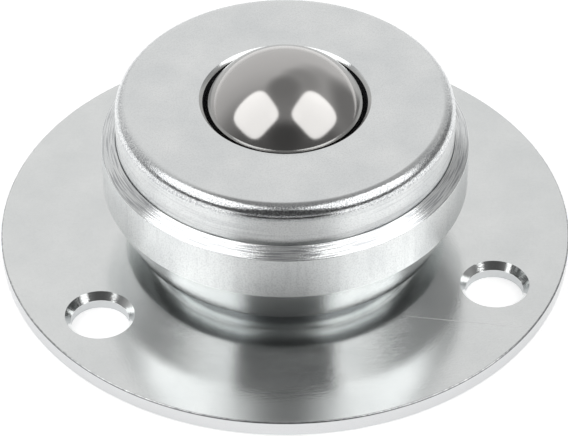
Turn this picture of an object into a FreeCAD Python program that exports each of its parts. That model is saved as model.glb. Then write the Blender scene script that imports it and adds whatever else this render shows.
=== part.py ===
"""Ball transfer unit with a round flange.

A steel ball sits on a bed of small support balls in a hardened race cup, so that it can roll
in any direction. The turned housing holds the cup, and its spigot is riveted into a round
flange plate with three screw holes. A turned cap, held under the housing's rolled lip, keeps
the ball in.

Millimetres. The origin is the centre of the flange's underside, and +Z points to the ball.
Every piece but the flange and the support balls is one profile turned about Z.
"""
import FreeCAD, Part
import math
import os

# Load ball, and how it shows
load_ball_d = 25.4
ball_protrusion = 6.35

# Bed of support balls, whose diameter is a share of the load ball's
support_ball_share = 0.15625
bed_row_count = 5
ball_play = 0.03
support_ball_spacing = 0.05
bed_headroom = 0.08

# Race cup
cup_wall = 1.4

# Flange plate
plate_d = 83.5
plate_t = 2.5
plate_upper_edge_r = 0.6
plate_lower_edge_r = 0.3
hole_count = 3
hole_circle_d = 66.0
hole_d = 8.4
hole_chamfer_w = 0.8
hole_chamfer_h = 1.1
first_hole_azimuth = 90.0

# Housing: foot and riveted spigot
floor_t = 1.85
spigot_d = 28.0
foot_w = 6.0
foot_corner_r = 0.5
rivet_flare_w = 1.0
rivet_flare_h = 1.0
rivet_sink = 0.1
rivet_rim_w = 2.5
rivet_recess_h = 0.5

# Housing: outside
body_gap = 3.04
lower_taper_w = 3.05
lower_taper_h = 6.54
lip_slope_h = 1.26
lip_t = 0.9
rim_t = 1.28
body_edge_r = 0.2
lip_edge_r = 0.12

# Cap
cap_d = 48.8
cap_wall_h = 6.15
cap_shoulder_r = 1.9
cap_flange_w = 0.8
cap_skirt_t = 4.0
opening_gap = 0.3
opening_chamfer = 0.7
opening_lip_t = 1.2

# Wiper ring in the cap, and keeper ring over the bed
wiper_t = 2.4
wiper_land = 3.8
wiper_gap = 0.04
wiper_ledge_w = 2.8
wiper_ledge_t = 0.4
keeper_t = 1.0
keeper_land = 0.9
keeper_gap = 0.15

# Clearances of pieces that are seated in each other
seat_fit = 0.02
lip_gap = 0.06


# Sizes that follow

load_ball_r = load_ball_d / 2
support_ball_r = load_ball_r * support_ball_share
bed_r = load_ball_r + ball_play + support_ball_r
race_r = bed_r + support_ball_r + ball_play
cup_r = race_r + cup_wall
pocket_r = cup_r + seat_fit

bed_step = 2 * support_ball_r + support_ball_spacing
row_angle = 2 * math.asin(bed_step / (2 * bed_r))
top_row_drop = bed_r * math.cos((bed_row_count - 1) * row_angle)

ball_z = floor_t + pocket_r
shelf_z = ball_z - top_row_drop + support_ball_r + bed_headroom
cap_top_z = ball_z + load_ball_r - ball_protrusion
lip_z = cap_top_z - cap_wall_h

cap_r = cap_d / 2
cap_flange_r = cap_r + cap_flange_w
body_r = cap_flange_r + seat_fit + rim_t
spigot_r = spigot_d / 2


def point(radius, z):
    """A point of a turned profile, in the plane of X and Z."""
    return FreeCAD.Vector(radius, 0, z)


def sphere_radius_at(radius, z):
    """Radius of the circle that a sphere about the ball's centre makes at height z."""
    return math.sqrt(radius**2 - (z - ball_z) ** 2)


def corner(before, here, after, radius):
    """The two ends and the middle of the arc that rounds one corner of a profile."""
    back = (before - here).normalize()
    on = (after - here).normalize()
    half = back.getAngle(on) / 2
    centre = here + (back + on).normalize() * (radius / math.sin(half))
    reach = radius / math.tan(half)
    middle = centre + (here - centre).normalize() * radius
    return here + back * reach, middle, here + on * reach


def outline(corners):
    """A closed wire from corners given as (radius, z), or as (radius, z, rounding)."""
    points = [point(c[0], c[1]) for c in corners]
    rounding = [c[2] if len(c) > 2 else 0 for c in corners]
    arcs = []
    for i, here in enumerate(points):
        if rounding[i]:
            arcs.append(corner(points[i - 1], here, points[(i + 1) % len(points)], rounding[i]))
        else:
            arcs.append((here, None, here))
    edges = []
    for i, (start, middle, end) in enumerate(arcs):
        if middle:
            edges.append(Part.Arc(start, middle, end).toShape())
        following = arcs[(i + 1) % len(arcs)][0]
        edges.append(Part.LineSegment(end, following).toShape())
    return Part.Wire(edges)


def turned(wire):
    """The solid that a closed profile makes when it is turned about Z."""
    return Part.Face(wire).revolve(FreeCAD.Vector(0, 0, 0), FreeCAD.Vector(0, 0, 1), 360)


def ball(radius, centre):
    """A ball, turned from a half disc."""
    return Part.makeSphere(radius, centre, FreeCAD.Vector(0, 0, 1))


def around_axis(azimuth, radius, z):
    """A place at an azimuth in degrees from +X, a radius from the axis and a height."""
    angle = math.radians(azimuth)
    return FreeCAD.Vector(radius * math.cos(angle), radius * math.sin(angle), z)


def make_flange_plate():
    """Punched disc, with a countersunk seat for the spigot and three chamfered holes."""
    bore_r = spigot_r + seat_fit
    disc = turned(
        outline(
            [
                (bore_r + rivet_flare_w, 0),
                (plate_d / 2, 0, plate_lower_edge_r),
                (plate_d / 2, plate_t, plate_upper_edge_r),
                (bore_r, plate_t),
                (bore_r, rivet_flare_h),
            ]
        )
    )
    hole_r = hole_d / 2
    mouth_z = plate_t - hole_chamfer_h
    screw_hole = turned(
        outline(
            [
                (0, 0),
                (hole_r, 0),
                (hole_r, mouth_z),
                (hole_r + hole_chamfer_w, plate_t),
                (0, plate_t),
            ]
        )
    )
    for i in range(hole_count):
        azimuth = first_hole_azimuth + i * 360 / hole_count
        cutter = screw_hole.copy()
        cutter.translate(around_axis(azimuth, hole_circle_d / 2, 0))
        disc = disc.cut(cutter)
    return disc


def make_housing_body():
    """Turned housing: riveted spigot, foot, tapered and straight outside, rolled lip."""
    bottom_z = plate_t + body_gap
    ridge_z = lip_z - lip_slope_h
    lip_under_z = lip_z - lip_t
    socket_r = cap_flange_r + seat_fit
    lip_r = cap_r + lip_gap
    recess_r = spigot_r - rivet_rim_w
    recess_z = rivet_sink + rivet_recess_h
    blank = turned(
        outline(
            [
                (0, recess_z),
                (recess_r, recess_z),
                (recess_r, rivet_sink),
                (spigot_r + rivet_flare_w - rivet_sink, rivet_sink),
                (spigot_r, rivet_flare_h),
                (spigot_r, plate_t),
                (spigot_r + foot_w, plate_t),
                (spigot_r + foot_w, bottom_z, foot_corner_r),
                (body_r - lower_taper_w, bottom_z, body_edge_r),
                (body_r, bottom_z + lower_taper_h, body_edge_r),
                (body_r, ridge_z, body_edge_r),
                (lip_r, lip_z, lip_edge_r),
                (lip_r, lip_under_z + cap_r - lip_r + seat_fit),
                (socket_r, lip_under_z - cap_flange_w),
                (socket_r, shelf_z),
                (0, shelf_z),
            ]
        )
    )
    return blank.cut(ball(pocket_r, point(0, ball_z)))


def make_race_cup():
    """Pressed and hardened bowl in which the support balls run, with a flat rim."""
    outer_rim = point(sphere_radius_at(cup_r, shelf_z), shelf_z)
    inner_rim = point(sphere_radius_at(race_r, shelf_z), shelf_z)
    return turned(bowl_wire(inner_rim, outer_rim))


def bowl_wire(inner_rim, outer_rim):
    """Half section of the bowl: two arcs about the ball's centre, the rim and the axis."""
    half_angle = math.atan2(outer_rim.x, ball_z - outer_rim.z) / 2
    outer_mid = point(cup_r * math.sin(half_angle), ball_z - cup_r * math.cos(half_angle))
    inner_mid = point(race_r * math.sin(half_angle), ball_z - race_r * math.cos(half_angle))
    outer_foot = point(0, ball_z - cup_r)
    inner_foot = point(0, ball_z - race_r)
    return Part.Wire(
        [
            Part.Arc(outer_foot, outer_mid, outer_rim).toShape(),
            Part.LineSegment(outer_rim, inner_rim).toShape(),
            Part.Arc(inner_rim, inner_mid, inner_foot).toShape(),
            Part.LineSegment(inner_foot, outer_foot).toShape(),
        ]
    )


def ring_with_ball_seat(corners, clearance):
    """A turned ring, relieved by a sphere that clears the load ball."""
    return turned(outline(corners)).cut(ball(load_ball_r + clearance, point(0, ball_z)))


def make_keeper_ring():
    """Flat ring on the race's rim, which keeps the top row of support balls down."""
    inner_r = load_ball_r + keeper_gap
    outer_r = cap_r - cap_skirt_t + keeper_land
    top_z = shelf_z + keeper_t
    return turned(
        outline([(inner_r, shelf_z), (outer_r, shelf_z), (outer_r, top_z), (inner_r, top_z)])
    )


def make_wiper_ring():
    """Felt ring in the cap, with an inner face that follows the ball."""
    top_z = cap_top_z - opening_lip_t - seat_fit
    under_z = top_z - wiper_t
    inner_r = sphere_radius_at(load_ball_r, top_z) - wiper_ledge_t
    outer_r = load_ball_r + wiper_land
    corners = [(inner_r, under_z), (outer_r, under_z), (outer_r, top_z), (inner_r, top_z)]
    return ring_with_ball_seat(corners, wiper_gap)


def make_cap():
    """Turned cap: flange under the lip, skirt, rounded shoulder and the ball's opening."""
    skirt_r = cap_r - cap_skirt_t
    groove_r = load_ball_r + wiper_land + seat_fit
    ledge_r = groove_r - wiper_ledge_w
    keeper_seat_r = skirt_r + keeper_land + seat_fit
    keeper_top_z = shelf_z + keeper_t + seat_fit
    groove_top_z = cap_top_z - opening_lip_t
    groove_under_z = groove_top_z - wiper_t - 2 * seat_fit
    web_z = groove_under_z - wiper_ledge_t
    lip_under_z = lip_z - lip_t
    neck_z = cap_top_z - opening_chamfer
    clear_r = load_ball_r + opening_gap
    neck_r = sphere_radius_at(clear_r, neck_z)
    corners = [
        (keeper_seat_r, shelf_z),
        (cap_flange_r, shelf_z),
        (cap_flange_r, lip_under_z - cap_flange_w),
        (cap_r, lip_under_z),
        (cap_r, cap_top_z, cap_shoulder_r),
        (neck_r + opening_chamfer, cap_top_z),
        (neck_r, neck_z),
        (neck_r, groove_top_z),
        (groove_r, groove_top_z),
        (groove_r, groove_under_z),
        (ledge_r, groove_under_z),
        (ledge_r, web_z),
        (skirt_r, web_z),
        (skirt_r, keeper_top_z),
        (keeper_seat_r, keeper_top_z),
    ]
    return ring_with_ball_seat(corners, opening_gap)


def bed_rows():
    """Polar angle and number of balls of each row of the bed, from the lowest ball up."""
    rows = [(0, 1)]
    for row in range(1, bed_row_count):
        row_r = bed_r * math.sin(row * row_angle)
        count = math.floor(math.pi / math.asin(bed_step / (2 * row_r)))
        rows.append((row * row_angle, count))
    return rows


def make_support_balls():
    """Every ball of the bed, by name. Rows lie a ball apart, so no two balls can meet."""
    balls = {}
    for angle, count in bed_rows():
        for i in range(count):
            place = around_axis(i * 360 / count, bed_r * math.sin(angle), 0)
            place.z = ball_z - bed_r * math.cos(angle)
            balls[f"support_ball_{len(balls) + 1:02d}"] = ball(support_ball_r, place)
    return balls


def main():
    parts = {
        "flange_plate": make_flange_plate(),
        "housing_body": make_housing_body(),
        "race_cup": make_race_cup(),
        "keeper_ring": make_keeper_ring(),
        "wiper_ring": make_wiper_ring(),
        "cap": make_cap(),
        "load_ball": ball(load_ball_r, point(0, ball_z)),
    }
    parts.update(make_support_balls())
    os.makedirs("parts", exist_ok=True)
    for name, shape in parts.items():
        shape.exportStep(f"parts/{name}.step")
    print(f"{len(parts)} pieces, rows of the bed {[count for _, count in bed_rows()]}")
    print(f"ball centre {ball_z:.2f}, cap top {cap_top_z:.2f}, body radius {body_r:.2f}")


main()
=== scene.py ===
# %% [markdown]
# # A ball transfer unit with a round flange
# A steel ball sits on a bed of small balls in a turned housing, and a punched plate carries it.
# The imported model is the frame: it gives every piece's place, and nothing here moves it.

# %% Load the frame
import math

import bmesh
import bpy
from mathutils import Matrix, Vector


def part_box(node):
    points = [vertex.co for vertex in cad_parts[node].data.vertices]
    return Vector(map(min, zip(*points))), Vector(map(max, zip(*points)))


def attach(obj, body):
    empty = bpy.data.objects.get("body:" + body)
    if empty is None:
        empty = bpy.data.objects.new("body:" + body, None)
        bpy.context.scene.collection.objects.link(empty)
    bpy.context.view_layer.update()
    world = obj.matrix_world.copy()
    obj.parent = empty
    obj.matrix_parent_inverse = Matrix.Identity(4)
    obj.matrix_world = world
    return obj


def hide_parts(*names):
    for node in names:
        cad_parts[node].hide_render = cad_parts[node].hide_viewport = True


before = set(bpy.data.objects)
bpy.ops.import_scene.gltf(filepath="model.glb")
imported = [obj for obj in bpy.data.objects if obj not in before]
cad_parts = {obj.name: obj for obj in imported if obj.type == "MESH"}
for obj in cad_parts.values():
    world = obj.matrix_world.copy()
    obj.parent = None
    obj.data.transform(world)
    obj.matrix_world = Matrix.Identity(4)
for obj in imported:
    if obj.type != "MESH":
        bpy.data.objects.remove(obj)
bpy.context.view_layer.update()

MM = 0.001

# %% [markdown]
# All the turned pieces share one axis. Their heights and radii are read from the frame's nodes,
# in millimetres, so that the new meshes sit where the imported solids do.

# %% Sizes taken from the frame
def reach(node):
    """Lowest height, highest height and greatest radius of a node, in millimetres."""
    low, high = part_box(node)
    return low.z / MM, high.z / MM, high.x / MM


plate_low, plate_top, plate_r = reach("flange_plate")
body_low, lip_z, body_r = reach("housing_body")
shelf_z, cap_top, cap_flange_r = reach("cap")
ball_low, ball_high, ball_r = reach("load_ball")
ball_z = (ball_low + ball_high) / 2
wiper_low, wiper_top, wiper_r = reach("wiper_ring")
_, keeper_top, keeper_r = reach("keeper_ring")
print(f"plate {plate_r:.2f}, body {body_r:.2f}, cap top {cap_top:.2f}, ball centre {ball_z:.2f}")

# %% [markdown]
# A lathe makes the real pieces, and a ring that is drawn along a profile makes them here.
# First come three helpers: one picks a piece, one opens it for editing, and one selects the
# edge rings that stand at given places of the profile.

# %% Picking pieces and rings
NEAR = 0.004


def deselect_all():
    if bpy.context.mode != "OBJECT":
        bpy.ops.object.mode_set(mode="OBJECT")
    bpy.ops.object.select_all(action="DESELECT")


def pick(piece):
    deselect_all()
    piece.select_set(True)
    bpy.context.view_layer.objects.active = piece


def open_for_editing(piece):
    pick(piece)
    bpy.ops.object.mode_set(mode="EDIT")
    bpy.ops.mesh.select_mode(type="EDGE")


def select_rings(piece, rings):
    """Selects the edge rings that stand at the given (radius, z) places, in millimetres."""
    bpy.ops.mesh.select_all(action="DESELECT")
    mesh = bmesh.from_edit_mesh(piece.data)
    for edge in mesh.edges:
        for radius, z in rings:
            on = (
                abs(v.co.xy.length / MM - radius) < NEAR and abs(v.co.z / MM - z) < NEAR
                for v in edge.verts
            )
            if all(on):
                edge.select_set(True)
    mesh.select_flush(True)
    bmesh.update_edit_mesh(piece.data)


# %% [markdown]
# A circle is added at the profile's first corner, then extruded, lifted and scaled to each next
# one. The last ring is bridged to the first, or both ends are closed at the axis.

# %% Turning a piece
AROUND = 256


def turn(name, corners, around=AROUND, open_ends=False):
    """Draws a ring along the corners (radius, z) and closes it, into a ring or at the axis."""
    deselect_all()
    radius, z = corners[0][:2]
    start = (0, 0, z * MM)
    bpy.ops.mesh.primitive_circle_add(vertices=around, radius=radius * MM, location=start)
    piece = bpy.context.active_object
    piece.name = piece.data.name = name
    bpy.ops.object.transform_apply(location=True, rotation=False, scale=False)
    open_for_editing(piece)
    bpy.ops.mesh.select_all(action="SELECT")
    for corner in corners[1:]:
        bpy.ops.mesh.extrude_region()
        bpy.ops.transform.translate(value=(0, 0, (corner[1] - z) * MM))
        ratio = corner[0] / radius
        bpy.ops.transform.resize(value=(ratio, ratio, 1), center_override=(0, 0, 0))
        radius, z = corner[:2]
    if open_ends:
        for end in (corners[0], corners[-1]):
            select_rings(piece, [end[:2]])
            bpy.ops.mesh.extrude_region()
            bpy.ops.mesh.merge(type="COLLAPSE")
    else:
        select_rings(piece, [corners[0][:2], corners[-1][:2]])
        bpy.ops.mesh.bridge_edge_loops()
    bpy.ops.mesh.select_all(action="SELECT")
    bpy.ops.mesh.normals_make_consistent(inside=False)
    return piece


# %% [markdown]
# The tool leaves a small rounding on most corners, and a corner's third number says how large
# it is. Afterwards the round faces are smoothed, while the flat ones and the edges stay crisp.

# %% Rounding and smoothing a piece
LARGE_ROUNDING = 1
SHARP_ANGLE = math.radians(35)


def round_corners(piece, corners, segments=5):
    """Bevels each corner that has a rounding, by the length that an arc takes off its sides."""
    for i, corner in enumerate(corners):
        if len(corner) < 3:
            continue
        here = Vector(corner[:2])
        back = (Vector(corners[i - 1][:2]) - here).normalized()
        on = (Vector(corners[(i + 1) % len(corners)][:2]) - here).normalized()
        half = back.angle(on) / 2
        select_rings(piece, [corner[:2]])
        bpy.ops.mesh.bevel(
            offset=corner[2] / math.tan(half) * MM,
            offset_type="OFFSET",
            segments=segments if corner[2] < LARGE_ROUNDING else 2 * segments,
            profile=0.5,
            affect="EDGES",
            clamp_overlap=False,
        )


def finish_piece(piece):
    """Leaves edit mode, smooths the round faces and keeps the flat ones flat."""
    pick(piece)
    bpy.ops.object.shade_smooth_by_angle(angle=SHARP_ANGLE)
    weighted = piece.modifiers.new("flat faces stay flat", "WEIGHTED_NORMAL")
    weighted.keep_sharp = True
    bpy.ops.object.modifier_apply(modifier=weighted.name)
    triangles = sum(len(face.vertices) - 2 for face in piece.data.polygons)
    low = [round(min(v.co[i] for v in piece.data.vertices) / MM, 3) for i in range(3)]
    high = [round(max(v.co[i] for v in piece.data.vertices) / MM, 3) for i in range(3)]
    print(f"{piece.name}: {triangles} triangles, from {low} to {high} mm")


# %% [markdown]
# The cap is turned from bar: a flange that the housing's lip holds, a wall, a rounded shoulder
# and the chamfered opening. Inside it has the groove of the wiper and the seat of the keeper.
# Under the chamfer the opening follows the ball, so that wall is drawn in short steps.

# %% Turn the cap
CAP_R = 24.4
CAP_FLANGE_W = cap_flange_r - CAP_R
SHOULDER_R = 1.9
OPENING_GAP = 0.5
OPENING_CHAMFER = 0.5
OPENING_STEP = 0.25
SEAT_FIT = 0.02
LIP_T = 0.9
FINE_EDGE = 0.05
WIPER_SEAT_W = 2.8
WEB_T = 0.4
SKIRT_T = 0.9


def opening_r(z):
    """Radius of the cap's opening at height z: a sphere round the ball with an even gap."""
    return math.sqrt((ball_r + OPENING_GAP) ** 2 - (z - ball_z) ** 2)


lip_under = lip_z - LIP_T
neck_z = cap_top - OPENING_CHAMFER
groove_r = wiper_r + SEAT_FIT
groove_top = wiper_top + SEAT_FIT
groove_low = wiper_low - SEAT_FIT
web_z = groove_low - WEB_T
keeper_seat_r = keeper_r + SEAT_FIT
skirt_r = keeper_r - SKIRT_T
cap_corners = [
    (keeper_seat_r, shelf_z),
    (cap_flange_r, shelf_z),
    (cap_flange_r, lip_under - CAP_FLANGE_W),
    (CAP_R, lip_under),
    (CAP_R, cap_top, SHOULDER_R),
    (opening_r(neck_z) + OPENING_CHAMFER, cap_top, FINE_EDGE),
    (opening_r(neck_z), neck_z, FINE_EDGE),
    (opening_r(neck_z - OPENING_STEP), neck_z - OPENING_STEP),
    (opening_r(groove_top), groove_top),
    (groove_r, groove_top),
    (groove_r, groove_low),
    (groove_r - WIPER_SEAT_W, groove_low),
    (groove_r - WIPER_SEAT_W, web_z),
    (skirt_r, web_z),
    (skirt_r, keeper_top + SEAT_FIT),
    (keeper_seat_r, keeper_top + SEAT_FIT),
]
cap = turn("turned_cap", cap_corners)
round_corners(cap, cap_corners)
finish_piece(cap)
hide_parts("cap")
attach(cap, "base")

# %% [markdown]
# The housing is turned too. Its foot and riveted spigot are narrow, its outside widens in a
# taper to a straight wall, and its lip is rolled in over the cap's flange. The bowl inside
# holds the race cup. It is drawn as a dozen rings on one sphere, which closes at the axis.

# %% Turn the housing
SPIGOT_R = 14.0
SPIGOT_FLARE = 0.9
FLARE_TOP = 1.0
FOOT_R = 20.0
BODY_UNDER_Z = 5.54
TAPER_W = 3.05
TAPER_H = 6.54
LIP_SLOPE_H = 1.26
LIP_R = 24.46
RECESS_R = 11.5
RECESS_Z = 0.6
RECESS_HOLE_R = 2.0
POCKET_R = 18.14875
POCKET_STEPS = 12

taper_top = BODY_UNDER_Z + TAPER_H
ridge_z = lip_z - LIP_SLOPE_H
socket_r = cap_flange_r + SEAT_FIT
rim_angle = math.acos((ball_z - shelf_z) / POCKET_R)
pocket = []
for step in range(POCKET_STEPS, 0, -1):
    angle = rim_angle * step / POCKET_STEPS
    pocket.append((POCKET_R * math.sin(angle), ball_z - POCKET_R * math.cos(angle)))
housing_corners = [
    (RECESS_HOLE_R, RECESS_Z),
    (RECESS_R, RECESS_Z),
    (RECESS_R, body_low, 0.2),
    (SPIGOT_R + SPIGOT_FLARE, body_low),
    (SPIGOT_R, FLARE_TOP),
    (SPIGOT_R, plate_top),
    (FOOT_R, plate_top),
    (FOOT_R, BODY_UNDER_Z, 0.5),
    (body_r - TAPER_W, BODY_UNDER_Z, 0.08),
    (body_r, taper_top, 0.1),
    (body_r, ridge_z, 0.1),
    (LIP_R, lip_z, 0.12),
    (LIP_R, lip_under + CAP_R - LIP_R + SEAT_FIT),
    (socket_r, lip_under - CAP_FLANGE_W),
    (socket_r, shelf_z),
] + pocket
housing = turn("housing_shell", housing_corners, open_ends=True)
round_corners(housing, housing_corners)
finish_piece(housing)
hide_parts("housing_body")
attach(housing, "base")

# %% [markdown]
# The flange is a disc punched from sheet. The punch draws its upper edge over in a soft
# rounding, and the lower edge stays nearly sharp. In its middle is the seat of the spigot,
# which is wider below, where the spigot is riveted over.

# %% Punch the plate
SEAT_FLARE = 1.0
PLATE_AROUND = 384
PLATE_SEGMENTS = 8

plate_corners = [
    (SPIGOT_R + SEAT_FIT + SEAT_FLARE, plate_low),
    (plate_r, plate_low, 0.3),
    (plate_r, plate_top, 0.25),
    (SPIGOT_R + SEAT_FIT, plate_top),
    (SPIGOT_R + SEAT_FIT, FLARE_TOP),
]
plate = turn("flange_disc", plate_corners, around=PLATE_AROUND)
round_corners(plate, plate_corners, segments=PLATE_SEGMENTS)

# %% [markdown]
# Three screw holes stand on one circle. Each is drilled and then chamfered from above, here
# with one cutter that has the shape of both tools.

# %% Drill the screw holes
HOLE_R = 4.2
HOLE_CIRCLE_R = 33.0
HOLE_CHAMFER_W = 0.8
HOLE_CHAMFER_H = 1.1
HOLE_AZIMUTHS = (90, 210, 330)
CUTTER_AROUND = 120
OVER = 0.5

hole_centres = []
for azimuth in HOLE_AZIMUTHS:
    turned_by = math.radians(azimuth)
    centre = Vector((math.cos(turned_by), math.sin(turned_by), 0)) * HOLE_CIRCLE_R * MM
    hole_centres.append(centre)

chamfer_slope = HOLE_CHAMFER_W / HOLE_CHAMFER_H
chamfer_r = HOLE_R + HOLE_CHAMFER_W
cutter_corners = [
    (HOLE_R, plate_low - OVER),
    (HOLE_R, plate_top - HOLE_CHAMFER_H),
    (chamfer_r + OVER * chamfer_slope, plate_top + OVER),
]
for centre in hole_centres:
    cutter = turn("hole_cutter", cutter_corners, around=CUTTER_AROUND, open_ends=True)
    pick(cutter)
    cutter.location = centre
    bpy.ops.object.transform_apply(location=True, rotation=False, scale=False)
    pick(plate)
    drill = plate.modifiers.new("screw hole", "BOOLEAN")
    drill.operation = "DIFFERENCE"
    drill.solver = "EXACT"
    drill.object = cutter
    bpy.ops.object.modifier_apply(modifier=drill.name)
    bpy.data.objects.remove(cutter)
finish_piece(plate)
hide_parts("flange_plate")
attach(plate, "base")

# %% [markdown]
# A bearing ball is ground and lapped until it is round to a micrometre. A cube that is divided
# and then cast to a sphere has even faces all over, with no pole to pinch a reflection.

# %% Make the load ball
LOAD_BALL_CUTS = 47


def make_ball(name, radius, cuts):
    """A cube at the origin, divided and cast to a sphere of the given radius in millimetres."""
    deselect_all()
    bpy.ops.mesh.primitive_cube_add(size=radius * MM)
    piece = bpy.context.active_object
    piece.name = piece.data.name = name
    open_for_editing(piece)
    bpy.ops.mesh.select_all(action="SELECT")
    bpy.ops.mesh.subdivide(number_cuts=cuts)
    bpy.ops.object.mode_set(mode="OBJECT")
    cast = piece.modifiers.new("lapped round", "CAST")
    cast.cast_type = "SPHERE"
    cast.factor = 1
    cast.use_radius_as_size = False
    cast.size = radius * MM
    bpy.ops.object.modifier_apply(modifier=cast.name)
    bpy.ops.object.shade_smooth()
    return piece


load_ball = make_ball("polished_load_ball", ball_r, LOAD_BALL_CUTS)
load_ball.data.transform(Matrix.Translation((0, 0, ball_z * MM)))
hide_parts("load_ball")
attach(load_ball, "load_ball")
print("load ball", len(load_ball.data.polygons), "faces")

# %% [markdown]
# The bed is 53 small balls, which turn together. One is made in the same way, then copied to
# the middle of each packed support ball, and the copies are joined into one mesh.

# %% Make the bed of support balls
SMALL_BALL_CUTS = 7

bed_nodes = sorted(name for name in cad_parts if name.startswith("support_ball_"))
bed_low, bed_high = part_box(bed_nodes[0])
small_ball = make_ball("support_ball_bed", (bed_high.x - bed_low.x) / 2 / MM, SMALL_BALL_CUTS)
copies = []
for name in bed_nodes:
    low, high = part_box(name)
    copy = small_ball.copy()
    copy.data = small_ball.data.copy()
    copy.data.transform(Matrix.Translation((low + high) / 2))
    bpy.context.scene.collection.objects.link(copy)
    copies.append(copy)
bpy.data.objects.remove(small_ball)
deselect_all()
for copy in copies:
    copy.select_set(True)
bpy.context.view_layer.objects.active = copies[0]
bpy.ops.object.join()
bed = bpy.context.active_object
bed.name = bed.data.name = "support_ball_bed"
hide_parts(*bed_nodes)
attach(bed, "support_ball_bed")
print("bed of", len(copies), "balls,", len(bed.data.polygons), "faces")

# %% [markdown]
# Each finish starts from what the real one is. Colours are written as sRGB and turned to
# linear by one function, and one function adds a node with its settings and its links.
# A Mix node keeps its inputs under numbers, which get names here.

# %% Helpers for finishes
SHARE, LOWER, UPPER, MIXED = 0, 6, 7, 2
ROUGH_LOWER, ROUGH_UPPER = 2, 3


def linear(colour):
    """An sRGB hex colour as linear red, green, blue and a full alpha."""
    parts = [int(colour[i : i + 2], 16) / 255 for i in (1, 3, 5)]
    return [c / 12.92 if c <= 0.04045 else ((c + 0.055) / 1.055) ** 2.4 for c in parts] + [1]


def add(tree, kind, inputs=(), out=0, **settings):
    """Adds a node with its settings and returns one output. Inputs are values or links."""
    made = tree.nodes.new("ShaderNode" + kind)
    for name, value in settings.items():
        setattr(made, name, value)
    for name, value in inputs.items() if isinstance(inputs, dict) else enumerate(inputs):
        if isinstance(value, bpy.types.NodeSocket):
            tree.links.new(value, made.inputs[name])
        else:
            made.inputs[name].default_value = value
    return made.outputs[out] if made.outputs else None


def new_finish(name, **values):
    """A material with one Principled shader, whose constant values stand on its own sockets."""
    material = bpy.data.materials.new(name)
    material.use_nodes = True
    shader = material.node_tree.nodes["Principled BSDF"]
    for socket, value in values.items():
        shader.inputs[socket.replace("_", " ")].default_value = value
    return material, material.node_tree, shader


def finish_surface(tree, shader, colour, roughness, bump):
    """Joins the three parts of a finish to its shader."""
    tree.links.new(colour, shader.inputs["Base Color"])
    if roughness:
        tree.links.new(roughness, shader.inputs["Roughness"])
    tree.links.new(bump, shader.inputs["Normal"])


def dress(piece, material):
    """Gives a new piece one material, in all of its slots."""
    piece.data.materials.clear()
    piece.data.materials.append(material)


def dress_packed(node, material):
    """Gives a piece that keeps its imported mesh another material."""
    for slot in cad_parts[node].material_slots:
        slot.material = material


# %% [markdown]
# Both zinc finishes are made of layers that stand in certain places: on a wall, on an edge or
# along a tool's marks. These helpers find the places and lay the layers over each other.

# %% Helpers for places on a turned piece
MICRON = MM * MM


def place_on_axis(tree):
    """The object coordinates, and how a lathe sees them: height, radius and way round."""
    place = add(tree, "TexCoord", out="Object")
    x = add(tree, "SeparateXYZ", [place], out="X")
    level = add(tree, "CombineXYZ", [x, x.node.outputs["Y"]])
    radius = add(tree, "VectorMath", [level], out="Value", operation="LENGTH")
    around = add(tree, "VectorMath", [level], operation="NORMALIZE")
    return place, (x.node.outputs["Z"], radius, around)


def region(tree, value, low, high):
    """A soft step in a length: 0 on low's side and 1 on high's side, both in millimetres."""
    rising = low < high
    inputs = {
        "Value": value,
        "From Min": min(low, high) * MM,
        "From Max": max(low, high) * MM,
        "To Min": 0.0 if rising else 1.0,
        "To Max": 1.0 if rising else 0.0,
    }
    return add(tree, "MapRange", inputs, interpolation_type="SMOOTHSTEP")


def tool_marks(tree, on_axis, width, length, detail):
    """Noise in fine rings, whose width across the cut and length along it are in millimetres."""
    z, radius, around = on_axis
    spread = add(tree, "VectorMath", {0: around, "Scale": CAP_R / length}, operation="SCALE")
    x = add(tree, "SeparateXYZ", [spread], out="X")
    outwards = add(tree, "Math", [radius, 1 / (width * MM)], operation="MULTIPLY")
    upwards = add(tree, "Math", [z, 1 / (width * MM)], operation="MULTIPLY")
    place = add(tree, "CombineXYZ", [x, x.node.outputs["Y"], outwards])
    inputs = {"Vector": place, "W": upwards, "Scale": 1.0, "Detail": detail}
    return add(tree, "TexNoise", inputs, noise_dimensions="4D")


def dark_crystals(tree, place, size, depth):
    """The share of the zinc's fine dark crystals, whose size is in millimetres."""
    grains = add(tree, "TexNoise", {"Vector": place, "Scale": 1 / (size * MM), "Detail": 2.0})
    inputs = {"Value": grains, "From Min": 0.55, "From Max": 0.35, "To Max": depth}
    return add(tree, "MapRange", inputs)


def lay_over(tree, colour, roughness, layers):
    """Lays each layer's colour and roughness over what is there, by the layer's share."""
    for share, layer_colour, layer_roughness in layers:
        if layer_colour is not None:
            inputs = {SHARE: share, LOWER: colour, UPPER: linear(layer_colour)}
            colour = add(tree, "Mix", inputs, out=MIXED, data_type="RGBA")
        if layer_roughness is not None:
            inputs = {SHARE: share, ROUGH_LOWER: roughness, ROUGH_UPPER: layer_roughness}
            roughness = add(tree, "Mix", inputs, data_type="FLOAT")
    return colour, roughness


# %% [markdown]
# Two places on the turned pieces bear the marks of other tools. The roller that closed the lip
# chattered, which left short bright and dark lines. The cap's shoulder was cut by a form tool
# in one plunge, which tore the steel a little and left a grain that glitters.

# %% The roller's and the form tool's marks
RINGS_MM = 0.32
RINGS_LONG_MM = 14
CHATTER_MM = 0.14
CHATTER_LONG_MM = 4
CHATTER_DEPTH = 20
GRAIN_MM = 0.2
FORMED_DEPTH = 16
RUNS_MM = 1.1
RUNS_STRETCH = (1, 1, 0.12)
SHOULDER_DOWN = (2.2, 1.7)
SHOULDER_IN = (1.6, 0.7)
SOFT = 0.1


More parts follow.
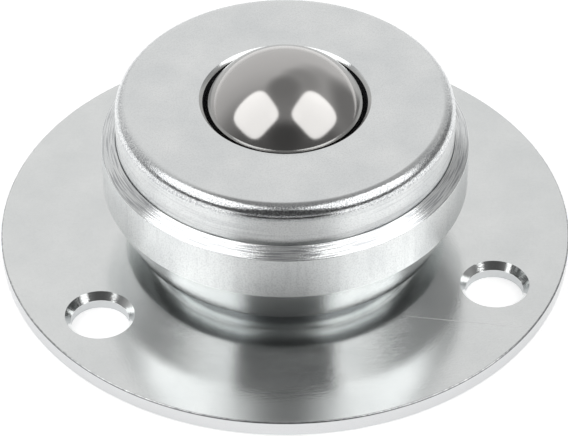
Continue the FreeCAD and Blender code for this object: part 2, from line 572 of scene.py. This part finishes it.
def rolled_lip(tree, place, on_axis, bump):
    """The lip's bump, the share of its dark lines, and the upright runs on the wall below."""
    marks = tool_marks(tree, on_axis, CHATTER_MM, CHATTER_LONG_MM, 1.5)
    on_lip = region(tree, on_axis[0], ridge_z - SOFT, ridge_z + SOFT)
    inputs = {"Height": marks, "Distance": CHATTER_DEPTH * MICRON}
    bump = add(tree, "Bump", {**inputs, "Strength": on_lip, "Normal": bump})
    lines = add(tree, "MapRange", {"Value": marks, "From Min": 0.52, "From Max": 0.42})
    dark = add(tree, "Math", [lines, on_lip], operation="MULTIPLY")
    runs = add(tree, "Mapping", {"Vector": place, "Scale": RUNS_STRETCH})
    runs = add(tree, "TexNoise", {"Vector": runs, "Scale": 1 / (RUNS_MM * MM), "Detail": 4.0})
    return bump, dark, runs


def formed_shoulder(tree, place, on_axis, bump):
    """The shoulder's bump, the share of its dark specks, and the rings on the wall below."""
    pits = add(tree, "TexNoise", {"Vector": place, "Scale": 1 / (GRAIN_MM * MM), "Detail": 3.0})
    high = region(tree, on_axis[0], *(cap_top - down for down in SHOULDER_DOWN))
    outer = region(tree, on_axis[1], *(CAP_R - inwards for inwards in SHOULDER_IN))
    on_shoulder = add(tree, "Math", [high, outer], operation="MULTIPLY")
    inputs = {"Height": pits, "Distance": FORMED_DEPTH * MICRON}
    bump = add(tree, "Bump", {**inputs, "Strength": on_shoulder, "Normal": bump})
    specks = add(tree, "MapRange", {"Value": pits, "From Min": 0.56, "From Max": 0.44})
    dark = add(tree, "Math", [specks, on_shoulder], operation="MULTIPLY")
    runs = tool_marks(tree, on_axis, RINGS_MM, RINGS_LONG_MM, 3.0)
    return bump, dark, runs


# %% [markdown]
# Turned steel with bright zinc plating: free-cutting steel from the lathe, then a few
# micrometres of zinc from the bath. The zinc leaves it satin and a little cool, and the lathe's
# fine rings still show. They are coarser here than the real 0.05 mm feed, so that they show.
# The straight walls are duller than the faces, and the foot in the gap over the plate has
# painted shade.

# %% Zinc on turned steel
RINGS_DEPTH = 8
GRAIN_DEPTH = 9
CLOUD_MM = 6
HAZE_MM = 1.5
WALL_STREAKS = 0.12
CAP_STREAKS = 0.3
GAP_TOP = 1.9
GAP_EDGE = 1.4
UNDERSIDE_FROM = (-0.15, -0.05)
UNDERSIDE_TO = (0.06, 0.02)
WALL_INTO_SHOULDER = 0.35


def turned_zinc(name, worked, wall_from, wall_to, streaks):
    """Zinc on a lathe's work. The worked place has its own marks, and the wall has streaks."""
    constants = {"Metallic": 1.0, "Anisotropic": 0.4, "Anisotropic_Rotation": 0.25}
    material, tree, shader = new_finish(name, **constants)
    round_about = add(tree, "Tangent", direction_type="RADIAL", axis="Z")
    tree.links.new(round_about, shader.inputs["Tangent"])
    place, on_axis = place_on_axis(tree)
    z = on_axis[0]

    marks = tool_marks(tree, on_axis, RINGS_MM, RINGS_LONG_MM, 2.0)
    bump = add(tree, "Bump", {"Height": marks, "Distance": RINGS_DEPTH * MICRON})
    pits = add(tree, "TexNoise", {"Vector": place, "Scale": 1 / (GRAIN_MM * MM), "Detail": 3.0})
    inputs = {"Height": pits, "Distance": GRAIN_DEPTH * MICRON, "Normal": bump}
    bump = add(tree, "Bump", inputs)
    bump, dark, runs = worked(tree, place, on_axis, bump)

    above = region(tree, z, wall_from, wall_from + SOFT)
    below = region(tree, z, wall_to, wall_to - SOFT)
    on_wall = add(tree, "Math", [above, below], operation="MULTIPLY")
    inputs = {"Value": runs, "From Min": 0.5, "From Max": 0.35, "To Max": streaks}
    streak = add(tree, "MapRange", inputs)
    streak = add(tree, "Math", [streak, on_wall], operation="MULTIPLY")
    depth = add(tree, "MapRange", {"Value": on_wall, "To Min": 0.08, "To Max": 0.2})
    # Painted shade: the foot between the plate and the housing's underside is painted a darker
    # grey.
    in_gap = region(tree, z, plate_top + GAP_TOP, plate_top + GAP_EDGE)
    above_plate = region(tree, z, plate_top - 2 * SOFT, plate_top - SOFT)
    painted_gap_shade = add(tree, "Math", [in_gap, above_plate], operation="MULTIPLY")
    from_under = region(tree, z, *(BODY_UNDER_Z + up for up in UNDERSIDE_FROM))
    to_under = region(tree, z, *(BODY_UNDER_Z + up for up in UNDERSIDE_TO))
    under = add(tree, "Math", [from_under, to_under], operation="MULTIPLY")

    cloud = add(tree, "TexNoise", {"Vector": place, "Scale": 1 / (CLOUD_MM * MM), "Detail": 5.0})
    inputs = {SHARE: cloud, LOWER: linear("#DDE0E1"), UPPER: linear("#F8F9F8")}
    colour = add(tree, "Mix", inputs, out=MIXED, data_type="RGBA")
    haze = add(tree, "TexNoise", {"Vector": place, "Scale": 1 / (HAZE_MM * MM), "Detail": 3.0})
    smooth = add(tree, "MapRange", {"Value": haze, "To Min": 0.09, "To Max": 0.13})
    coarse = add(tree, "MapRange", {"Value": haze, "To Min": 0.32, "To Max": 0.38})
    layers = [
        (dark, "#C0C2C4", None),
        (dark_crystals(tree, place, GRAIN_MM, depth), "#707274", None),
        (streak, "#A8AAAC", None),
        (on_wall, None, coarse),
        # painted shade in the gap under the housing
        (painted_gap_shade, "#9A9C9E", 0.14),
        (under, None, 0.16),
    ]
    colour, satin = lay_over(tree, colour, smooth, layers)
    finish_surface(tree, shader, colour, satin, bump)
    return material


cap_wall_top = cap_top - SHOULDER_R + WALL_INTO_SHOULDER
cap_place = (formed_shoulder, shelf_z, cap_wall_top, CAP_STREAKS)
housing_place = (rolled_lip, taper_top, ridge_z, WALL_STREAKS)
dress(cap, turned_zinc("bright_zinc_on_turned_cap", *cap_place))
dress(housing, turned_zinc("bright_zinc_on_turned_housing", *housing_place))
print("zinc on the cap's wall up to", round(cap_wall_top, 2), "mm, lip from", round(ridge_z, 2))

# %% [markdown]
# Handling left one fine scratch across the front right part of the plate. The cutter left the
# holes' chamfers brighter and smoother than the sheet, and their walls carry painted shade.
# Both places are found here.

# %% The scratch and the holes
SCRATCH_FROM = Vector((13.3, -21.4))
SCRATCH_TO = Vector((32.0, -26.3))
SCRATCH_W = 0.14
SCRATCH_FADE = 1
HOLE_FADE = 0.2
UNDER_FACE = (0.01, 0.06)


def on_scratch(tree, place):
    """1 on the scratch and 0 beside it, fading in over its first quarter."""
    along = SCRATCH_TO - SCRATCH_FROM
    moved = add(tree, "VectorMath", [place, (*(SCRATCH_FROM * MM), 0)], operation="SUBTRACT")
    inputs = {"Vector": moved, "Angle": -math.atan2(along.y, along.x)}
    laid = add(tree, "VectorRotate", inputs, rotation_type="Z_AXIS")
    x = add(tree, "SeparateXYZ", [laid], out="X")
    beside = add(tree, "Math", [x.node.outputs["Y"]], operation="ABSOLUTE")
    narrow = region(tree, beside, SCRATCH_W / 2, 0)
    begins = region(tree, x, 0, along.length / 4)
    ends = region(tree, x, along.length, along.length - SCRATCH_FADE)
    length = add(tree, "Math", [begins, ends], operation="MULTIPLY")
    return add(tree, "Math", [narrow, length], operation="MULTIPLY")


def in_holes(tree, place, z):
    """1 on the walls and chamfers of the screw holes, and 0 on the sheet."""
    shares = []
    for centre in hole_centres:
        flat = add(tree, "VectorMath", [place, (1, 1, 0)], operation="MULTIPLY")
        away = add(tree, "VectorMath", [flat, centre], out="Value", operation="DISTANCE")
        shares.append(region(tree, away, chamfer_r + HOLE_FADE, chamfer_r))
    total = add(tree, "Math", shares[:2], operation="ADD")
    total = add(tree, "Math", [total, shares[2]], operation="ADD")
    below = region(tree, z, *(plate_top - down for down in UNDER_FACE))
    return add(tree, "Math", [total, below], operation="MULTIPLY")


# %% [markdown]
# The punch drew the upper edge over. A thin ragged grey line of painted shade runs round it,
# and below it the rim is painted a shade darker than the faces, also as painted shade.

# %% The punched rim
RAGGED_MM = 0.6
RAGGED_W = 0.3
EDGE_SHADE_OUT = (-0.1, 0.15)
RIM_SHADE_OUT = (-0.2, -0.05)
RIM_T = 0.2


def on_rim(tree, place, z, radius):
    """The shares of the painted shade: a ragged line along the upper edge, and the rim below it.
    """
    ragged_edge = add(tree, "TexNoise", {"Vector": place, "Scale": 1 / (RAGGED_MM * MM), "Detail": 2.0})
    ragged_edge = add(tree, "Math", [ragged_edge, RAGGED_W * MM], operation="MULTIPLY")
    inwards = add(tree, "Math", [radius, ragged_edge], operation="ADD")
    edge_line_shade = region(tree, inwards, *(plate_r + out for out in EDGE_SHADE_OUT))
    rim_z = plate_top - RIM_T
    high = region(tree, z, rim_z - SOFT, rim_z)
    edge_line_shade = add(tree, "Math", [edge_line_shade, high], operation="MULTIPLY")
    low = region(tree, z, rim_z, rim_z - SOFT)
    rim_shade = region(tree, radius, *(plate_r + out for out in RIM_SHADE_OUT))
    rim_shade = add(tree, "Math", [rim_shade, low], operation="MULTIPLY")
    return edge_line_shade, rim_shade


# %% [markdown]
# Cold-rolled steel sheet with bright zinc plating. Rolling leaves it smoother than turning, so
# it mirrors the housing in soft shapes, with a faint grain along the rolling.

# %% Zinc on rolled sheet
ROLLED_MM = 0.35
ROLLED_LONG_MM = 6
ROLLED_DEPTH = 5
PITS_MM = 0.35
PITS_DEPTH = 8
SHEET_CLOUD_MM = 9
SHEET_HAZE_MM = 2.5


def sheet_zinc():
    material, tree, shader = new_finish("bright_zinc_on_rolled_sheet", Metallic=1.0)
    place, (z, radius, _) = place_on_axis(tree)
    long = add(tree, "Mapping", {"Vector": place, "Scale": (ROLLED_MM / ROLLED_LONG_MM, 1, 1)})
    rolled = add(tree, "TexNoise", {"Vector": long, "Scale": 1 / (ROLLED_MM * MM)})
    bump = add(tree, "Bump", {"Height": rolled, "Distance": ROLLED_DEPTH * MICRON})
    pits = add(tree, "TexNoise", {"Vector": place, "Scale": 1 / (PITS_MM * MM), "Detail": 3.0})
    inputs = {"Height": pits, "Distance": PITS_DEPTH * MICRON, "Normal": bump}
    bump = add(tree, "Bump", inputs)

    upper_face = region(tree, z, plate_top - 3 * SOFT, plate_top - SOFT)
    scratch = add(tree, "Math", [on_scratch(tree, place), upper_face], operation="MULTIPLY")
    edge_line_shade, rim_shade = on_rim(tree, place, z, radius)
    holes = in_holes(tree, place, z)
    chamfer_low = plate_top - HOLE_CHAMFER_H
    lower = region(tree, z, chamfer_low, chamfer_low - SOFT)
    shaded_hole_walls = add(tree, "Math", [holes, lower], operation="MULTIPLY")

    scale = 1 / (SHEET_CLOUD_MM * MM)
    cloud = add(tree, "TexNoise", {"Vector": place, "Scale": scale, "Detail": 6.0})
    inputs = {SHARE: cloud, LOWER: linear("#DFE2E2"), UPPER: linear("#FAFBFA")}
    colour = add(tree, "Mix", inputs, out=MIXED, data_type="RGBA")
    scale = 1 / (SHEET_HAZE_MM * MM)
    haze = add(tree, "TexNoise", {"Vector": place, "Scale": scale, "Detail": 3.0})
    satin = add(tree, "MapRange", {"Value": haze, "To Min": 0.15, "To Max": 0.19})
    layers = [
        (dark_crystals(tree, place, GRAIN_MM, 0.04), "#707274", None),
        (scratch, "#FAFAFA", 0.65),
        # painted shade: a grey line along the rim's upper edge, and the rim below it a shade
        # darker
        (edge_line_shade, "#949698", None),
        (rim_shade, "#D4D5D6", None),
        (holes, None, 0.12),
        # painted shade: the holes' walls are painted a shade darker than the sheet, and are
        # rougher
        (shaded_hole_walls, "#D2D4D5", 0.4),
    ]
    colour, satin = lay_over(tree, colour, satin, layers)
    finish_surface(tree, shader, colour, satin, bump)
    return material


dress(plate, sheet_zinc())
print("scratch of", round((SCRATCH_TO - SCRATCH_FROM).length, 1), "mm on the plate")

# %% [markdown]
# Chrome steel, through-hardened and lapped, is darker than zinc and a little warm. The load
# ball has been rolled on, so its polish is soft. The race is the same steel, only ground, and
# the keeper is rolled spring strip.

# %% Hardened steel
STEEL_CLOUD_MM = 5
STEEL_HAZE_MM = 0.8
LAPPING_MM = 0.4
LAPPING_DEPTH = 1.0


def hardened_steel(name, darker, lighter, smoothest, roughest):
    material, tree, shader = new_finish(name, Metallic=1.0)
    place = add(tree, "TexCoord", out="Object")
    cloud = add(tree, "TexNoise", {"Vector": place, "Scale": 1 / (STEEL_CLOUD_MM * MM)})
    inputs = {SHARE: cloud, LOWER: linear(darker), UPPER: linear(lighter)}
    colour = add(tree, "Mix", inputs, out=MIXED, data_type="RGBA")
    scale = 1 / (STEEL_HAZE_MM * MM)
    haze = add(tree, "TexNoise", {"Vector": place, "Scale": scale, "Detail": 4.0})
    polish = add(tree, "MapRange", {"Value": haze, "To Min": smoothest, "To Max": roughest})
    scale = 1 / (LAPPING_MM * MM)
    lapping = add(tree, "TexNoise", {"Vector": place, "Scale": scale, "Detail": 3.0})
    bump = add(tree, "Bump", {"Height": lapping, "Distance": LAPPING_DEPTH * MICRON})
    finish_surface(tree, shader, colour, polish, bump)
    return material


dress(load_ball, hardened_steel("lapped_chrome_steel", "#BEBCBA", "#C4C2C0", 0.09, 0.13))
dress(bed, hardened_steel("lapped_small_balls", "#C3C1BF", "#C8C6C4", 0.12, 0.18))
ground_steel = hardened_steel("ground_race_steel", "#A6A6A8", "#B2B2B3", 0.3, 0.42)
dress_packed("race_cup", ground_steel)
strip_steel = hardened_steel("rolled_spring_steel", "#B5B5B7", "#BFBFC0", 0.26, 0.36)
dress_packed("keeper_ring", strip_steel)

# %% [markdown]
# The wiper is a ring of pressed wool felt, soaked in oil and nearly black. Its hairs lie in all
# directions, so its surface is a soft mat and mirrors nothing.

# %% Felt of the wiper
HAIRS_MM = 0.15
HAIRS_DEPTH = 0.06


def wool_felt():
    material, tree, shader = new_finish("pressed_wool_felt", Roughness=0.95)
    place = add(tree, "TexCoord", out="Object")
    hairs = add(tree, "TexNoise", {"Vector": place, "Scale": 1 / (HAIRS_MM * MM), "Detail": 6.0})
    inputs = {SHARE: hairs, LOWER: linear("#0E0E0F"), UPPER: linear("#26262A")}
    colour = add(tree, "Mix", inputs, out=MIXED, data_type="RGBA")
    bump = add(tree, "Bump", {"Height": hairs, "Distance": HAIRS_DEPTH * MM})
    finish_surface(tree, shader, colour, None, bump)
    return material


dress_packed("wiper_ring", wool_felt())

# %% [markdown]
# The camera stands far off with a long lens, 41 degrees above the plate and 6.6 degrees to the
# left of the third hole's back. These came from the plate's and the cap's ellipses.

# %% Camera
CAMERA_AWAY = 506.17
CAMERA_AZIMUTH = math.radians(-6.6)
CAMERA_HEIGHT = math.radians(41.22)
CAMERA_DOWN = math.radians(41.12)
CAMERA_TURN = math.radians(0.025)
CAMERA_LENS = 217.77
CAMERA_SENSOR = 36
CAMERA_NEAREST = 10
CAMERA_FURTHEST = 20000

camera = bpy.data.objects.new("camera", bpy.data.cameras.new("camera"))
bpy.context.scene.collection.objects.link(camera)
bpy.context.scene.camera = camera
camera.data.lens = CAMERA_LENS
camera.data.sensor_width = CAMERA_SENSOR
camera.data.clip_start = CAMERA_NEAREST * MM
camera.data.clip_end = CAMERA_FURTHEST * MM
back = Vector((math.sin(CAMERA_AZIMUTH), -math.cos(CAMERA_AZIMUTH), math.tan(CAMERA_HEIGHT)))
camera.location = back.normalized() * CAMERA_AWAY * MM + Vector((0, 0, plate_top * MM))
camera.rotation_euler = (math.pi / 2 - CAMERA_DOWN, 0, CAMERA_AZIMUTH + CAMERA_TURN)
print("camera at", [round(v / MM) for v in camera.location], "mm")

# %% [markdown]
# Two square soft boxes hang in front, left and right of the camera. Their cloth is bright in
# the middle and fades at rounded edges, which gives the ball its two spots.

# %% Lamps
BOX_AWAY = 600
BOX_SIDE = 590
BOX_WATTS = 1.5
BOX_ROUNDNESS = 4.0
SOFT_BOXES = [(-64, 48), (64, 48)]


def direction(turned_by, elevation):
    """A unit vector from a turn off the front, in radians, and an elevation in degrees."""
    level = math.cos(math.radians(elevation))
    upwards = math.sin(math.radians(elevation))
    return Vector((math.sin(turned_by) * level, -math.cos(turned_by) * level, upwards))


for sideways, elevation in SOFT_BOXES:
    lamp = bpy.data.lights.new("soft_box", "AREA")
    lamp.shape = "SQUARE"
    lamp.size = BOX_SIDE * MM
    lamp.energy = BOX_WATTS
    lamp.use_nodes = True
    cloth = lamp.node_tree
    spot = add(cloth, "NewGeometry", out="Parametric")
    spot = add(cloth, "VectorMath", [spot, (0.5, 0.5, 0)], operation="SUBTRACT")
    x = add(cloth, "SeparateXYZ", [spot], out="X")
    across = add(cloth, "Math", [x, BOX_ROUNDNESS], operation="POWER")
    along = add(cloth, "Math", [x.node.outputs["Y"], BOX_ROUNDNESS], operation="POWER")
    total = add(cloth, "Math", [across, along], operation="ADD")
    out_from_middle = add(cloth, "Math", [total, 1 / BOX_ROUNDNESS], operation="POWER")
    inputs = {"Value": out_from_middle, "From Min": 0.5, "From Max": 0.45}
    fade = add(cloth, "MapRange", inputs, interpolation_type="SMOOTHSTEP")
    cloth.links.new(fade, cloth.nodes["Emission"].inputs["Strength"])
    holder = bpy.data.objects.new("soft_box", lamp)
    bpy.context.scene.collection.objects.link(holder)
    away = direction(CAMERA_AZIMUTH + math.radians(sideways), elevation)
    holder.location = away * BOX_AWAY * MM
    holder.rotation_euler = away.to_track_quat("Z", "Y").to_euler()
    print("soft box at", [round(v / MM) for v in holder.location], "mm")

# %% [markdown]
# The world is the tent round the set: bright behind the object, dimmer at the sides and dark
# round the camera, which draws the grey stripe down every turned face.

# %% World
TENT_STOPS = [
    (0, 0.1),
    (0.12, 0.13),
    (0.3, 0.16),
    (0.5, 0.34),
    (0.66, 0.6),
    (0.85, 0.76),
    (1, 0.82),
]

world = bpy.data.worlds.new("tent")
bpy.context.scene.world = world
world.use_nodes = True
sky = world.node_tree
sky.nodes.clear()
way = add(sky, "TexCoord", out="Generated")
inputs = {"Vector": way, "Angle": -CAMERA_AZIMUTH}
way = add(sky, "VectorRotate", inputs, rotation_type="Z_AXIS")
backwards = add(sky, "SeparateXYZ", [way], out="Y")
share = add(sky, "MapRange", {"Value": backwards, "From Min": -1.0})
tent = add(sky, "ValToRGB", [share])
ramp = tent.node.color_ramp
while len(ramp.elements) < len(TENT_STOPS):
    ramp.elements.new(0.5)
for stop, (position, grey) in zip(ramp.elements, TENT_STOPS):
    stop.position = position
    stop.color = (grey, grey, grey, 1)
print("tent with", len(TENT_STOPS), "greys from front to back")

# %% [markdown]
# Soft round patches in the tent stand for what else the metal mirrors: grey cloth high at the
# back and low at the right, a lighter panel over the camera, and the dark place below it.
# Each patch has its direction from the camera's side, and its core and edge, in degrees.

# %% Patches in the tent
TENT_PATCHES = [
    {"azimuth": 128, "elevation": 42, "core": 10, "edge": 34, "grey": 0.5},
    {"azimuth": 145, "elevation": 62, "core": 8, "edge": 26, "grey": 0.4},
    {"azimuth": -170, "elevation": 80, "core": 8, "edge": 24, "grey": 0.26},
    {"azimuth": 112, "elevation": 8, "core": 12, "edge": 34, "grey": 0.26},
    {"azimuth": 0, "elevation": 64, "core": 4, "edge": 24, "grey": 0.3},
    {"azimuth": 0, "elevation": 34, "core": 2, "edge": 28, "grey": 0.08},
]

for patch in TENT_PATCHES:
    middle = direction(math.radians(patch["azimuth"]), patch["elevation"])
    facing = add(sky, "VectorMath", [way, middle], out="Value", operation="DOT_PRODUCT")
    inputs = {
        "Value": facing,
        "From Min": math.cos(math.radians(patch["edge"])),
        "From Max": math.cos(math.radians(patch["core"])),
    }
    share = add(sky, "MapRange", inputs, interpolation_type="SMOOTHSTEP")
    inputs = {SHARE: share, LOWER: tent, UPPER: (*[patch["grey"]] * 3, 1)}
    tent = add(sky, "Mix", inputs, out=MIXED, data_type="RGBA")
add(sky, "OutputWorld", [add(sky, "Background", {"Color": tent})])
print(len(TENT_PATCHES), "patches in the tent")

# %% [markdown]
# The floor is a sheet of white card, and it keeps the object's shadow. A part of its white is
# a glow that only the camera and mirrors see, so that it stays as bright as the photograph's
# paper without lighting the object.

# %% Floor
CARD_GLOW = 0.46
CARD_SIDE = 6000
CARD_Z = -0.02

deselect_all()
bpy.ops.mesh.primitive_plane_add(size=CARD_SIDE * MM, location=(0, 0, CARD_Z * MM))
floor = bpy.context.active_object
floor.name = "white_card"
card, tree, shader = new_finish("white_card", Roughness=0.9, Base_Color=linear("#F8F8F8"))
shader.inputs["Emission Color"].default_value = linear("#FFFFFF")
seen = add(tree, "LightPath", out="Is Camera Ray")
mirrored = add(tree, "Math", [seen.node.outputs["Is Glossy Ray"], seen], operation="MAXIMUM")
through = seen.node.outputs["Is Transmission Ray"]
shown = add(tree, "Math", [through, mirrored], operation="MAXIMUM")
glow = add(tree, "Math", [shown, CARD_GLOW], operation="MULTIPLY")
tree.links.new(glow, shader.inputs["Emission Strength"])
dress(floor, card)

# %% [markdown]
# The front of the set was dark, and the taper and the plate mirror it. A sheet lies there, from
# just before the plate towards the camera, a little over the card. Only mirrors see it: it is
# hidden from the camera, throws no shadow and leaves the soft light as it is.

# %% Dark apron
APRON_FROM = 53
APRON_TO = 400
APRON_WIDTH = 1.4 * APRON_TO
APRON_Z = 0.3

apron_near = APRON_FROM / 2
apron_size = (APRON_WIDTH * MM, (APRON_TO - apron_near) * MM, 1)
apron_middle = (0, -(APRON_TO + apron_near) / 2 * MM, APRON_Z * MM)
deselect_all()
bpy.ops.mesh.primitive_plane_add(size=1, location=(0, 0, 0))
apron = bpy.context.active_object
apron.name = "dark_apron"
open_for_editing(apron)
bpy.ops.mesh.select_all(action="SELECT")
bpy.ops.transform.resize(value=apron_size)
bpy.ops.transform.translate(value=apron_middle)
bpy.ops.transform.rotate(value=-CAMERA_AZIMUTH, orient_axis="Z", center_override=(0, 0, 0))
deselect_all()
apron.visible_camera = False
apron.visible_shadow = False
apron.visible_diffuse = False
print("apron from", APRON_FROM, "to", APRON_TO, "mm")

# %% [markdown]
# The sheet is black cotton velvet. Its pile swallows light from every side, so it has no sheen
# at all. It is cut as a sector round the object's axis, with soft edges, and it lets a little
# of the card through further out, where the set was less dark.

# %% Black velvet
VELVET_HALF = 27
VELVET_SOFT = 2.5
VELVET_FADE = 5
VELVET_DIM = 110
VELVET_DIM_FADE = 6
VELVET_FAR_COVER = 0.85

constants = {"Roughness": 0.9, "Specular_IOR_Level": 0.0, "Base_Color": linear("#141414")}
velvet, tree, shader = new_finish("black_velvet", **constants)
_, (_, radius, around) = place_on_axis(tree)
inputs = {"Vector": around, "Angle": -CAMERA_AZIMUTH}
ahead = add(tree, "VectorRotate", inputs, rotation_type="Z_AXIS")
x = add(tree, "SeparateXYZ", [ahead], out="X")
inputs = {
    "Value": add(tree, "Math", [x], operation="ABSOLUTE"),
    "From Min": math.sin(math.radians(VELVET_HALF - VELVET_SOFT)),
    "From Max": math.sin(math.radians(VELVET_HALF + VELVET_SOFT)),
    "To Min": 1.0,
    "To Max": 0.0,
}
cover = add(tree, "MapRange", inputs, interpolation_type="SMOOTHSTEP")
begins = region(tree, radius, APRON_FROM, APRON_FROM + VELVET_FADE)
cover = add(tree, "Math", [cover, begins], operation="MULTIPLY")
near = region(tree, radius, VELVET_DIM + VELVET_DIM_FADE, VELVET_DIM)
near = add(tree, "Math", [near, 1 - VELVET_FAR_COVER], operation="MULTIPLY")
thinning = add(tree, "Math", [near, VELVET_FAR_COVER], operation="ADD")
cover = add(tree, "Math", [cover, thinning], operation="MULTIPLY")
tree.links.new(cover, shader.inputs["Alpha"])
dress(apron, velvet)
print("velvet covers", VELVET_HALF, "degrees to each side")

# %% [markdown]
# The picture is shown as it is, with the standard view.

# %% Finish
bpy.context.scene.view_settings.view_transform = "Standard"
